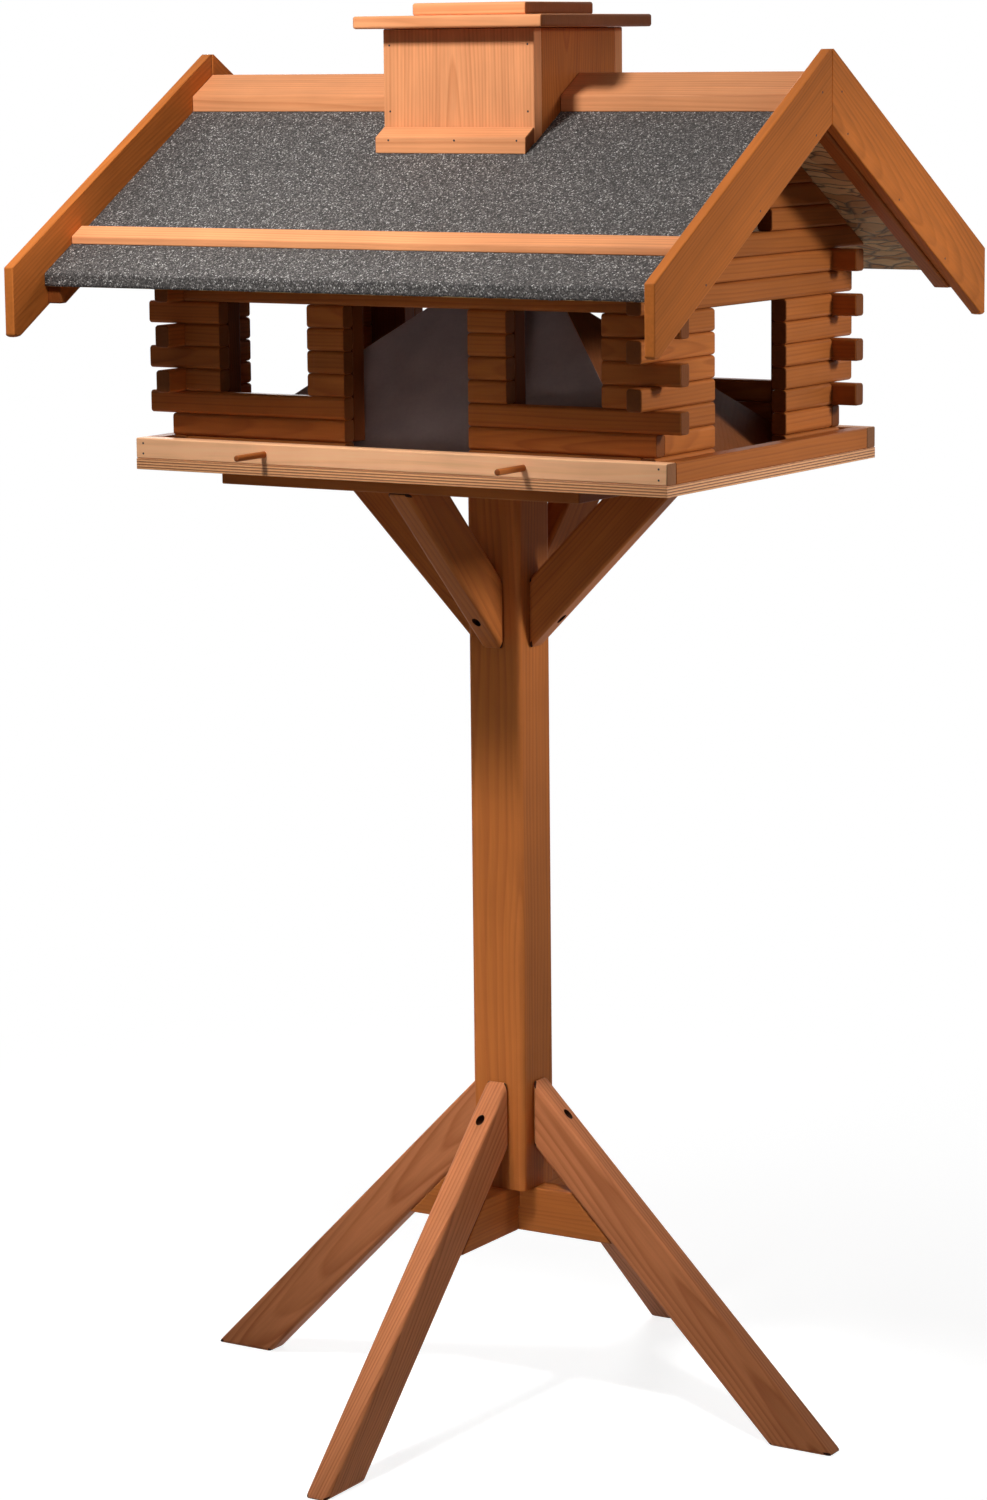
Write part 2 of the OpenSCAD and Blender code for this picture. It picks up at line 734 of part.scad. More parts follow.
post();
leg(front_angle);  // front_leg
leg(right_angle);  // right_leg
leg(back_angle);  // back_leg
leg(left_angle);  // left_leg
cross_board_x();
cross_board_y();
brace(front_angle);  // front_brace
brace(right_angle);  // right_brace
brace(back_angle);  // back_brace
brace(left_angle);  // left_brace
stand_screws();
cross_screw();
tray_plate();
plate_screws();
tray_screws();
tray_floor();
front_rail();
back_rail();
left_rail();
right_rail();
tray_brads();
left_peg();
right_peg();
front_sill_logs();
front_corner_logs();
front_pier_logs();
front_header_logs();
back_sill_logs();
back_corner_logs();
back_pier_logs();
back_header_logs();
left_jamb_logs();
left_header_logs();
left_gable_logs();
right_jamb_logs();
right_header_logs();
right_gable_logs();
pier_battens();
corner_battens();
spreader_faces();
spreader_ends();
front_roof_panel();
back_roof_panel();
front_felt();
back_felt();
front_ridge_boards();
back_ridge_boards();
roof_laths();
left_barge_boards();
right_barge_boards();
gable_rafters();
chimney_front_board();
chimney_back_board();
chimney_side_boards();
chimney_skirts();
roof_brads();
lid_plate();
lid_top_plate();
lid_block();
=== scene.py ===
"""Looks of a log-house bird feeder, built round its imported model.

Lengths are metres and angles radians, unless a name says mm or degrees. X runs along the ridge, the front
of the house faces minus Y, and the ground is at Z = 0.
"""

import math
import random

import bmesh
import bpy
from bpy.props import FloatProperty, FloatVectorProperty, IntProperty, PointerProperty
from mathutils import Matrix, Vector, noise


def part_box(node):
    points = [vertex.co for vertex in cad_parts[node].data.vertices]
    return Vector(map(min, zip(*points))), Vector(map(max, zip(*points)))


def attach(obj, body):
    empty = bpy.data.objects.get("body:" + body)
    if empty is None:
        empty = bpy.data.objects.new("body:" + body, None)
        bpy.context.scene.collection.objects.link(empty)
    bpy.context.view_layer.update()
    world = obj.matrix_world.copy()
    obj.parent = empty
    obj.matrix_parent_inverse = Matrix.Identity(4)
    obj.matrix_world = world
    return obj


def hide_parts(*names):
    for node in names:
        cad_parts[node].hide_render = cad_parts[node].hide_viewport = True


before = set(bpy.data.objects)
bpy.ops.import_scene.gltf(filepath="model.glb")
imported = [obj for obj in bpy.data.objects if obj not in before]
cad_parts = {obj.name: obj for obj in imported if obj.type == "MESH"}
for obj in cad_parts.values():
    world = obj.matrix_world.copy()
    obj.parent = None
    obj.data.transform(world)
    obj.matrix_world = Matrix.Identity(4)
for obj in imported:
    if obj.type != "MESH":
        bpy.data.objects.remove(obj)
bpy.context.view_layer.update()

bl_info = {
    "name": "Log-house bird feeder",
    "version": (1, 0, 0),
    "blender": (4, 5, 0),
    "location": "3D View > Sidebar > Feeder",
    "description": "Finishes the boards, logs, felt and fittings of a bird feeder, and sets its stage",
    "category": "Object",
}

MM = 0.001
HOUSE = "house_and_stand"
LID = "lid"
UP = Vector((0, 0, 1))


def linear(hex_colour):
    """The linear red, green, blue and alpha of an sRGB hex colour."""
    parts = [int(hex_colour[i : i + 2], 16) / 255 for i in (1, 3, 5)]
    return tuple(c / 12.92 if c <= 0.04045 else ((c + 0.055) / 1.055) ** 2.4 for c in parts) + (1.0,)


def colour(name, description, default):
    """A colour that the user can change, given as an sRGB hex value."""
    return FloatVectorProperty(
        name=name, description=description, subtype="COLOR", size=4, min=0, max=1, default=linear(default)
    )


def length(name, description, default_mm, top_mm):
    """A length that the user can change, given in millimetres."""
    return FloatProperty(
        name=name, description=description, unit="LENGTH", min=0, max=top_mm * MM, default=default_mm * MM
    )


class FeederColours(bpy.types.PropertyGroup):
    """Colours of the stains, sheets and metal"""

    # On the chimney sides this darker stain is painted shade beside the pale front and back boards
    stand: colour("Stand stain", "Early wood of stand, side rails, pegs, rafters, chimney sides", "#b86b34")
    stand_late: colour("Stand grain", "Late wood of the same boards, and of the legs", "#8a4723")
    leg: colour("Leg stain", "Early wood of the legs, which took less stain", "#c67c50")
    logs: colour("Log stain", "Early wood of the wall logs", "#b66a33")
    logs_late: colour("Log grain", "Late wood of the wall logs", "#8b4922")
    # Ends: partly stain soaked into end grain, and partly painted shade, darker than the end grain itself
    log_end_soak_and_shade: colour("Log end", "Sawn ends of logs and long rails, where the stain soaks in", "#6e3d1e")
    board: colour("Barge board stain", "Early wood of the barge boards", "#d37936")
    board_late: colour("Barge board grain", "Late wood of the barge boards", "#a75b26")
    # Dark colour: stain soaked into the ends of boards, and painted shade as the early wood of the battens
    soaked_and_shaded: colour("Soaked wood", "Battens, and ends of stand and roof boards, full of stain", "#6f3614")
    # Painted shade: the battens' late wood is near black because they stand deep in the walls' shade
    batten_painted_shade: colour("Batten grain", "Late wood of the battens, which took the most stain", "#4a2310")
    # On the spreader's ends this pale stain is painted light from the end doorways inside the dim house
    trim: colour("Trim stain", "Early wood of roof boards, chimney, lid, spreader ends", "#e89d6b")
    trim_late: colour("Trim grain", "Late wood of roof boards, chimney, lid, spreader ends", "#c27648")
    # Painted light: the long rails are drawn paler than the side rails of the same wood, as if brightly lit
    rail: colour("Rail stain", "Early wood of the long tray rails", "#fdc091")
    rail_late: colour("Rail grain", "Late wood of the long tray rails", "#dba06d")
    veneer: colour("Veneer", "Faces and pale plies of the tray floor", "#eaab76")
    glue: colour("Dark ply", "Streaks and darker plies of the tray floor", "#bf7a47")
    flake: colour("Strand", "Pale strands of the roof panels", "#f0cc98")
    flake_dark: colour("Dark strand", "Dark strands of the roof panels", "#b5824f")
    granule: colour("Granules", "Middle grey of the felt's mineral granules", "#5d5855")
    # Painted light: paler and pinker than the grey paint, for the warm light inside the house
    slate: colour("Spreader grey", "Painted faces of the seed spreader", "#b3a19f")
    steel: colour("Steel", "Zinc-plated screws of cross boards, plate and tray", "#8e8a85")
    # Near black: blued steel, darkened further as painted shade of the holes the screws and brads sit in
    brad: colour("Brad", "Blued steel of the brads and the screws of legs and braces", "#1c1511")
    floor: colour("Floor", "Studio floor under the feeder", "#b8b7b5")


class FeederSizes(bpy.types.PropertyGroup):
    """Sizes of the finish: edges, grain, granules and waves"""

    stand_rub: length("Rubbed edge of the stand", "Radius on the edges of legs and braces", 4.0, 6)
    trim_rub: length("Rubbed edge of the trim", "Radius on the edges of roof boards, chimney and rails", 1.4, 4)
    log_rub: length("Rubbed edge of the logs", "Radius on the edges of logs and battens", 1.3, 2)
    barge_corner: length("Barge board corner", "Radius on the lower corners of the barge boards", 6.0, 12)
    ring: length("Growth ring", "Spacing of the growth rings", 3.8, 12)
    granule: length("Granule", "Spacing of the felt's granules, drawn coarse enough to show", 1.2, 6)
    felt_wave: length("Felt wave", "Height of the waves along the felt's eave", 0.6, 4)
    felt_sheet: length("Felt sheet", "Thickness of the felt", 2.0, 4)
    felt_lip: length("Felt lip", "How far the felt hangs down over the eave", 12.4, 20)
    ply: length("Ply", "Thickness of a pale and a dark ply together", 2.75, 6)
    seed: IntProperty(name="Seed", description="Changes the grain of all boards", default=7, min=0)


def colours():
    """The scene's colours."""
    return bpy.context.scene.feeder_colours


def sizes():
    """The scene's sizes."""
    return bpy.context.scene.feeder_sizes


# Grain directions of the boards


def outward(side):
    """Direction from the post to a side of the house."""
    return {
        "front": Vector((0, -1, 0)),
        "back": Vector((0, 1, 0)),
        "left": Vector((-1, 0, 0)),
        "right": Vector((1, 0, 0)),
    }[side]


ROOF_PITCH = math.radians(31)
ALONG_X, ALONG_Y = Vector((1, 0, 0)), Vector((0, 1, 0))
SIDES = ("front", "right", "back", "left")


def up_the_slope(centre):
    """Grain of a board that lies along the roof's slope, on the front or the back."""
    side = -1 if centre.y < 0 else 1
    return Vector((0, side * math.cos(ROOF_PITCH), -math.sin(ROOF_PITCH)))


def grain_of(node, centre):
    """Direction of the grain in a board of this node, whose middle is at centre."""
    if node.endswith("_leg"):
        return (outward(node.split("_")[0]) - UP).normalized()
    if node.endswith("_brace"):
        return (outward(node.split("_")[0]) + UP).normalized()
    if "barge" in node or "rafter" in node:
        return up_the_slope(centre)
    if node == "post" or "batten" in node or node.startswith("chimney") and "skirt" not in node:
        return UP
    across_house = ("_jamb_" in node, node in ("cross_board_y", "left_rail", "right_rail"), "_peg" in node)
    end_wall = node.startswith(("left", "right")) and node.endswith("_logs")
    return ALONG_Y if any(across_house) or end_wall else ALONG_X


# Meshes


def merged_copy(node):
    """A bmesh of a model node, with its loose triangles merged into flat faces."""
    shape = bmesh.new()
    shape.from_mesh(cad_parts[node].data)
    bmesh.ops.remove_doubles(shape, verts=shape.verts, dist=0.004 * MM)
    bmesh.ops.dissolve_limit(
        shape, angle_limit=math.radians(0.6), verts=shape.verts, edges=shape.edges, delimit=set()
    )
    return shape


def islands(shape):
    """Lists of the vertices of each separate board in a bmesh."""
    left, found = set(shape.verts), []
    for start in shape.verts:
        if start not in left:
            continue
        left.discard(start)
        group, todo = [], [start]
        while todo:
            vertex = todo.pop()
            group.append(vertex)
            for edge in vertex.link_edges:
                other = edge.other_vert(vertex)
                if other in left:
                    left.discard(other)
                    todo.append(other)
        found.append(group)
    return found


def sharp_edges(shape, shortest):
    """Edges of over 30 degrees that are long enough to be a board's edge, and not the rim of a hole."""
    limit = math.radians(30)
    return [
        e for e in shape.edges
        if e.is_manifold and e.calc_length() > shortest and e.calc_face_angle(0) > limit
    ]


def rub_edges(shape, radius, shortest=6 * MM, segments=3):
    """Rounds the long edges, and shades only the new strips smooth. Returns their faces."""
    made = bmesh.ops.bevel(
        shape, geom=sharp_edges(shape, shortest), offset=radius, offset_type="OFFSET", segments=segments,
        profile=0.5, affect="EDGES", clamp_overlap=True, material=-1,
    )
    strips = set(made["faces"])
    for face in shape.faces:
        face.smooth = face in strips
    return strips


HOLE_FACE = 20e-6  # square metres: a leg's or brace's plain face under it is part of a sunk hole's wall
FLAT_SHARE = 0.45  # of the boards of a mixed cut
END_SLANT = 0.6  # a face that looks along the grain by more than this is an end


def store_grain(shape, node, strips, cut):
    """Writes where each board lies in its tree, a tone for each board, and its ends and rubbed edges.

    The pith is the tree's middle. On a flat cut it lies behind the wide face and the board crosses the
    tree's taper, which gives arched grain. On a quarter cut it lies beside the board, which gives straight
    grain.
    """
    rng = random.Random(f"{node} {sizes().seed}")
    sunk = node.endswith(("_leg", "_brace"))
    place = shape.verts.layers.float_vector.new("grain")
    tone = shape.verts.layers.float.new("tone")
    end = shape.faces.layers.float.new("end")
    rub = shape.faces.layers.float.new("rub")
    for group in islands(shape):
        middle = sum((v.co for v in group), Vector()) / len(group)
        along = grain_of(node, middle)
        sides = [f for v in group for f in v.link_faces if abs(f.normal.dot(along)) < 0.5]
        depth = max(sides, key=lambda f: f.calc_area()).normal.copy() if sides else along.orthogonal()
        depth = (depth - depth.dot(along) * along).normalized()
        across = along.cross(depth)
        half_depth = max(abs((v.co - middle).dot(depth)) for v in group)
        half_width = max(abs((v.co - middle).dot(across)) for v in group)
        flat = cut == "flat" or cut == "mixed" and rng.random() < FLAT_SHARE
        taper = rng.uniform(0.03, 0.09) * rng.choice((-1, 1)) if flat else rng.uniform(-0.015, 0.015)
        if flat:
            pith = depth * (half_depth + rng.uniform(8, 30) * MM) * rng.choice((-1, 1))
            pith += across * half_width * rng.uniform(-0.6, 0.6)
        else:
            pith = across * (half_width + rng.uniform(30, 80) * MM) * rng.choice((-1, 1))
            pith += depth * half_depth * rng.uniform(-3, 3)
        start, board_tone = rng.uniform(0, 30), rng.random()
        for v in group:
            step = v.co - middle
            far = step - pith
            v[place] = (
                start + step.dot(along), far.dot(across), far.dot(depth) + taper * step.dot(along)
            )
            v[tone] = board_tone
        for face in {f for v in group for f in v.link_faces}:
            # The walls of sunk holes are marked here for painted shade
            in_hole = sunk and face not in strips and face.calc_area() < HOLE_FACE
            face[end] = 1.0 if in_hole or abs(face.normal.dot(along)) > END_SLANT else 0.0
            face[rub] = -1.0 if in_hole else 1.0 if face in strips else 0.0


def finish_piece(shape, name, body, nodes, material):
    """Turns a bmesh into a piece that stands for some model nodes and rides on their body."""
    mesh = bpy.data.meshes.new(name)
    shape.to_mesh(mesh)
    shape.free()
    mesh.materials.append(material)
    piece = bpy.data.objects.new(name, mesh)
    bpy.context.scene.collection.objects.link(piece)
    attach(piece, body)
    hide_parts(*nodes)
    return piece


def round_lowest(shape, radius):
    """Rounds the lowest corner at each foot of the boards."""
    foot = min(v.co.z for v in shape.verts) + MM
    bottom = [e for e in shape.edges if all(v.co.z < foot for v in e.verts)]
    bmesh.ops.bevel(
        shape, geom=bottom, offset=radius, offset_type="OFFSET", segments=5, profile=0.5, affect="EDGES",
        clamp_overlap=True, material=-1,
    )


POST_RUB = 0.6 * MM  # the model's post has its round corners already
PEG_RUB = 1.6 * MM
SPREADER_RUB = 0.4 * MM
PANEL_RUB = 0.5 * MM


def planed(node, material, rub, body=HOUSE, cut="mixed", shortest=6 * MM, segments=3, corner=0):
    """A board or group of boards with rubbed edges and its own grain, in the place of a model node."""
    shape = merged_copy(node)
    if corner:
        round_lowest(shape, corner)
    strips = rub_edges(shape, rub, shortest, segments)
    store_grain(shape, node, strips, cut)
    return finish_piece(shape, f"{node}_planed", body, [node], material)


FELT_COLUMNS = 118
FELT_ROWS = 60
BEND_ROWS = 5
LIP_ROWS = 4
BEND_RADIUS = 3 * MM
WAVE_ALONG, WAVE_DOWN = 55 * MM, 90 * MM
FLAT_WAVE = 0.12  # share of the wave's height at the ridge
RAGGED = ((50 * MM, 0, 1 * MM), (6 * MM, 5, 0.7 * MM))  # length, seed and depth of the lip's unevenness


def felt_profile(high, reach):
    """Points (distance from the ridge, height) and normals down the roof, the bend and the lip."""
    slope = Vector((math.cos(ROOF_PITCH), -math.sin(ROOF_PITCH)))
    turn = math.pi / 2 - ROOF_PITCH
    trim = BEND_RADIUS * math.tan(turn / 2)
    corner = Vector((reach, high - reach * math.tan(ROOF_PITCH)))
    run = reach / math.cos(ROOF_PITCH) - trim
    top = Vector((0, high))
    normal = Vector((math.sin(ROOF_PITCH), math.cos(ROOF_PITCH)))
    points = [(top + slope * run * i / FELT_ROWS, normal) for i in range(FELT_ROWS + 1)]
    centre = corner + Vector((-BEND_RADIUS, -trim))
    for i in range(1, BEND_ROWS + 1):
        angle = math.pi / 2 - ROOF_PITCH - turn * i / BEND_ROWS
        normal = Vector((math.cos(angle), math.sin(angle)))
        points.append((centre + normal * BEND_RADIUS, normal))
    drop = sizes().felt_lip - trim
    for i in range(1, LIP_ROWS + 1):
        points.append((centre + Vector((BEND_RADIUS, -drop * i / LIP_ROWS)), normal))
    return points


def felt_sheet(side):
    """A bmesh of one sheet of felt, gently waved towards the eave, with a slightly ragged lower edge."""
    low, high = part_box(f"{side}_felt")
    sign = -1 if side == "front" else 1
    profile = felt_profile(high.z, max(abs(low.y), abs(high.y)))
    rows = len(profile) - 1
    shape = bmesh.new()
    bmesh.ops.create_grid(shape, x_segments=FELT_COLUMNS, y_segments=rows, size=1)
    for v in shape.verts:
        row = round((v.co.y + 1) / 2 * rows)
        x = low.x + (high.x - low.x) * (v.co.x + 1) / 2
        (out, z), normal = profile[row]
        share = FLAT_WAVE + (1 - FLAT_WAVE) * (row / rows) ** 6
        rise = 0.5 + 0.5 * noise.noise(Vector((x / WAVE_ALONG, out / WAVE_DOWN, 3.7 * sign)))
        rise *= sizes().felt_wave * share
        ragged = 0.0
        if row == rows:
            ragged = sum(noise.noise(Vector((x / run, sign, seed))) * deep for run, seed, deep in RAGGED)
        v.co = (x, sign * (out + normal.x * rise), z + normal.y * rise + ragged)
    bmesh.ops.recalc_face_normals(shape, faces=shape.faces)
    if sum(f.normal.z for f in shape.faces) < 0:
        bmesh.ops.reverse_faces(shape, faces=shape.faces)
    bmesh.ops.solidify(shape, geom=shape.faces[:], thickness=sizes().felt_sheet)
    for face in shape.faces:
        face.smooth = True
    return shape


# Materials


def fill(tree, node, inputs):
    """Fills a node's inputs with values, or with links where a socket is given."""
    for key, value in dict(inputs).items():
        if isinstance(value, bpy.types.NodeSocket):
            tree.links.new(value, node.inputs[key])
        else:
            node.inputs[key].default_value = value


def add(tree, kind, inputs=(), stops=(), **settings):
    """Adds a shader node with its settings, inputs and colour stops."""
    node = tree.nodes.new("ShaderNode" + kind)
    for name, value in settings.items():
        setattr(node, name, value)
    fill(tree, node, inputs)
    if stops:
        ramp = node.color_ramp.elements
        while len(ramp) < len(stops):
            ramp.new(0.5)
        for element, (position, value) in zip(ramp, stops):
            element.position = position
            element.color = value if hasattr(value, "__len__") else (value, value, value, 1)
    return node


def new_material(name):
    """A material with an empty node tree. Returns the material, its tree and its shader."""
    material = bpy.data.materials.new(name)
    material.use_nodes = True
    tree = material.node_tree
    tree.nodes.clear()
    shader = add(tree, "BsdfPrincipled")
    add(tree, "OutputMaterial", {"Surface": shader.outputs[0]})
    return material, tree, shader


def object_place(tree):
    """Coordinates in the object's own metres."""
    return add(tree, "TexCoord").outputs["Object"]


def calc(tree, operation, *values):
    """The result of a Math node on numbers and sockets."""
    return add(tree, "Math", enumerate(values), operation=operation).outputs[0]


def calc_vector(tree, operation, *values):
    """The result of a Vector Math node, which is a number for LENGTH."""
    node = add(tree, "VectorMath", enumerate(values), operation=operation)
    return node.outputs["Value" if operation == "LENGTH" else 0]


def ranged(tree, source, low, high, start=0.0, stop=1.0, **settings):
    """A number that goes from low to high while the source goes from start to stop."""
    values = {0: source, 1: start, 2: stop, 3: low, 4: high}
    return add(tree, "MapRange", values, **settings).outputs[0]


def mixed(tree, share, first, second):
    """A colour that goes from the first to the second while the share goes from 0 to 1."""
    return add(tree, "Mix", {0: share, 6: first, 7: second}, data_type="RGBA").outputs[2]


def ramped(tree, source, stops):
    """A colour that follows the source through the stops."""
    return add(tree, "ValToRGB", {"Fac": source}, stops=stops).outputs[0]


def stretched(tree, place, scale):
    """Coordinates scaled along each axis, so that one unit is one patch of a pattern."""
    return add(tree, "Mapping", {"Vector": place, "Scale": scale}).outputs[0]


def cloud(tree, place, scale, detail, output="Fac"):
    """Soft noise with scale patches to a unit of the coordinates."""
    return add(tree, "TexNoise", {"Vector": place, "Scale": scale, "Detail": detail}).outputs[output]


def wander(tree, place, colour_cloud, reach):
    """Coordinates that a cloud of colour pushes about, by up to half the reach either way."""
    centred = calc_vector(tree, "SUBTRACT", colour_cloud, (0.5, 0.5, 0.5))
    return calc_vector(tree, "ADD", place, calc_vector(tree, "MULTIPLY", centred, reach))


def scaled(tree, base, light):
    """A base colour times a number."""
    return add(tree, "VectorMath", {0: base, "Scale": light}, operation="SCALE").outputs[0]


def relief(tree, height, depth, strength, **settings):
    """A normal bent by a height that stands for a relief of the given depth."""
    values = {"Height": height, "Distance": depth, "Strength": strength}
    return add(tree, "Bump", values, **settings).outputs[0]


# Tones and strengths that all stained wood shares
KNOT_STOPS = ((0.0, "#4d2511"), (0.02, "#7d4422"), (0.035, "#6a371a"), (0.055, "#4a2310"))
RING_STOPS = [(0, 0.0), (0.35, 0.08), (0.84, 1.0), (1.0, 0.0)]
STEM_WANDER = (0, 18 * MM, 18 * MM)
KNOT_PUSH = 11 * MM
# Painted shade: the share of its colour that the wall of a sunk hole keeps
PAINTED_HOLE_SHADE = 0.15
STAIN_GLOSS = 0.08


def stained_wood(name, early, late, end_grain, contrast, knots=0.0, edge=1.12):
    """Planed pine or spruce with a thin brown stain, which shows its rings, fibres, knots and blotches.

    Nearly matt, as the stain leaves no film. The edge factor lightens rubbed edges above 1, and darkens
    grooves below 1, where stain collects and as painted shade in the grooves. Knots is the share of
    possible knots that are there.
    """
    material, tree, shader = new_material(name)
    grain = add(tree, "Attribute", attribute_name="grain").outputs["Vector"]
    tone, end, rub = (
        add(tree, "Attribute", attribute_name=layer).outputs["Fac"] for layer in ("tone", "end", "rub")
    )

    # The stem isn't straight: rings wander by a few millimetres over some 70 mm across and 500 mm along
    crooked = cloud(tree, stretched(tree, grain, (2.0, 14, 14)), 1, 2, "Color")
    bent = wander(tree, grain, crooked, STEM_WANDER)

    # Knots some 14 mm wide and 22 mm long, decimetres apart, which push the rings aside
    cell = add(tree, "TexVoronoi", {"Vector": stretched(tree, bent, (5, 8.5, 8.5)), "Scale": 1}).outputs
    lot = add(tree, "SeparateColor", {0: cell["Color"]}).outputs[0]
    there = calc(tree, "LESS_THAN", lot, knots)
    away = ranged(tree, cell["Distance"], KNOT_PUSH, 0.0, 0.03, 0.3, interpolation_type="SMOOTHERSTEP")
    push = calc(tree, "MULTIPLY", away, there)
    inside = ranged(tree, cell["Distance"], 0.85, 0.0, 0.035, 0.1, interpolation_type="SMOOTHSTEP")
    knot = calc(tree, "MULTIPLY", inside, there)
    knot_wood = ramped(tree, cell["Distance"], [(at, linear(hue)) for at, hue in KNOT_STOPS])

    # Growth rings round the pith: pale early wood that darkens to a sharp late-wood line
    radius = calc_vector(tree, "LENGTH", calc_vector(tree, "MULTIPLY", bent, (0, 1, 1)))
    phase = calc(tree, "DIVIDE", calc(tree, "ADD", radius, push), sizes().ring)
    line = ramped(tree, calc(tree, "FRACT", phase), RING_STOPS)
    ring_number = calc(tree, "FLOOR", phase)
    ring_lot = add(tree, "TexWhiteNoise", {"W": ring_number}, noise_dimensions="1D").outputs["Value"]
    late_share = calc(tree, "MULTIPLY", line, ranged(tree, ring_lot, 0.35 * contrast, contrast))

    # Fibres some 3 mm wide, drawn coarser than real ones so that they show, and stain blotches of 80 mm
    fibre = cloud(tree, stretched(tree, bent, (9, 330, 330)), 1, 3)
    streak = cloud(tree, stretched(tree, bent, (3, 70, 70)), 1, 2)
    blotch = cloud(tree, grain, 12, 3)

    knotted = mixed(tree, knot, mixed(tree, late_share, early, late), knot_wood)
    ended = mixed(tree, calc(tree, "MULTIPLY", end, 0.85), knotted, end_grain)
    light = 1.0
    for source, spread in ((tone, 0.22), (fibre, 0.3), (streak, 0.3), (blotch, 0.3)):
        light = calc(tree, "MULTIPLY", light, ranged(tree, source, 1 - spread / 2, 1 + spread / 2))
    # The rub attribute is 1 on a rubbed edge, and -1 on the wall of a sunk hole, which is darkened as
    # painted shade, since little light comes in there
    for start, low, high in ((0, 1.0, edge), (-1, PAINTED_HOLE_SHADE, 1.0)):
        light = calc(tree, "MULTIPLY", light, ranged(tree, rub, low, high, start, start + 1))
    fill(tree, shader, {
        "Base Color": scaled(tree, ended, light),
        "Roughness": ranged(tree, fibre, 0.42, 0.62),
        "Specular IOR Level": STAIN_GLOSS,
        "Normal": relief(tree, calc(tree, "ADD", late_share, fibre), 0.25 * MM, 0.45),
    })
    return material


def birch_plywood(name):
    """Stained birch plywood: fine straight veneer on its faces, and stripes of its plies at its edges."""
    material, tree, shader = new_material(name)
    place = object_place(tree)
    height = add(tree, "SeparateXYZ", {0: place}).outputs[2]
    facing = add(tree, "SeparateXYZ", {0: add(tree, "NewGeometry").outputs["Normal"]}).outputs[2]
    is_face = calc(tree, "GREATER_THAN", calc(tree, "ABSOLUTE", facing), 0.5)
    veneer, glue, glue_line = colours().veneer, colours().glue, linear("#5a2f17")

    # Face veneer: streaks 6 mm wide along X
    streak = cloud(tree, stretched(tree, place, (5, 150, 40)), 1, 4)
    face = ramped(tree, streak, [(0.3, glue), (0.62, veneer)])

    # Edge: a pale ply, a darker one and a glue line in each period, which waver a little along the edge
    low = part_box("tray_floor")[0].z
    turns = calc(tree, "DIVIDE", calc(tree, "SUBTRACT", height, low), sizes().ply)
    waver = ranged(tree, cloud(tree, place, 5, 1), -0.05, 0.05)
    plies = ramped(
        tree, calc(tree, "FRACT", calc(tree, "ADD", turns, waver)),
        [(0.0, veneer), (0.45, veneer), (0.55, glue), (0.72, glue), (0.78, glue_line), (0.97, glue_line),
         (1.0, veneer)],
    )

    # Flecks of 8 by 2 mm, where the saw tore the fibres
    fleck = cloud(tree, stretched(tree, place, (120, 120, 500)), 1, 2)
    fill(tree, shader, {
        "Base Color": scaled(tree, mixed(tree, is_face, plies, face), ranged(tree, fleck, 0.8, 1.2)),
        "Roughness": 0.55,
        "Normal": relief(tree, fleck, 0.2 * MM, 0.5),
    })
    return material


def strand_board(name):
    """Bare oriented strand board: strands of 50 by 12 mm that curl and cross, with dark cracks between."""
    material, tree, shader = new_material(name)
    place = object_place(tree)

    # Three layers of strands, each turned its own way, which take turns in patches of some 30 mm
    bent = wander(tree, place, cloud(tree, place, 14, 2, "Color"), (50 * MM,) * 3)
    chooser = add(tree, "TexVoronoi", {"Vector": bent, "Scale": 32}).outputs["Color"]
    shade, gap = None, None
    for turn, threshold in ((15, None), (75, 0.4), (-50, 0.7)):
        laid = add(
            tree, "Mapping",
            {"Vector": bent, "Rotation": (0, 0, math.radians(turn)), "Scale": (20, 85, 85)},
        ).outputs[0]
        cell = {"Vector": laid, "Scale": 1}
        strand = add(tree, "TexVoronoi", cell).outputs["Color"]
        border = add(tree, "TexVoronoi", cell, feature="DISTANCE_TO_EDGE").outputs["Distance"]
        if threshold is None:
            shade, gap = strand, border
            continue
        pick = calc(tree, "GREATER_THAN", chooser, threshold)
        shade = mixed(tree, pick, shade, strand)
        gap = add(tree, "Mix", {0: pick, 2: gap, 3: border}).outputs[0]

    # Each strand has one tone, fibres 2 mm wide, and dark cracks along its border
    level = add(tree, "RGBToBW", {0: shade}).outputs[0]
    base = ramped(
        tree, level, [(0.25, colours().flake_dark), (0.42, linear("#d9ad78")), (0.75, colours().flake)]
    )
    fibre = cloud(tree, stretched(tree, bent, (40, 500, 500)), 1, 2)
    light = calc(
        tree, "MULTIPLY", ranged(tree, gap, 0.15, 1.0, 0.0, 0.1), ranged(tree, fibre, 0.82, 1.18)
    )
    fill(tree, shader, {
        "Base Color": scaled(tree, base, light),
        "Roughness": 0.7,
        "Normal": relief(tree, light, 0.6 * MM, 0.6),
    })
    return material


GRIT_STOPS = ((0.0, "#1e1c1b"), (0.45, "#3b3735"), (0.94, "#8a8682"), (1.0, "#cdcac6"))


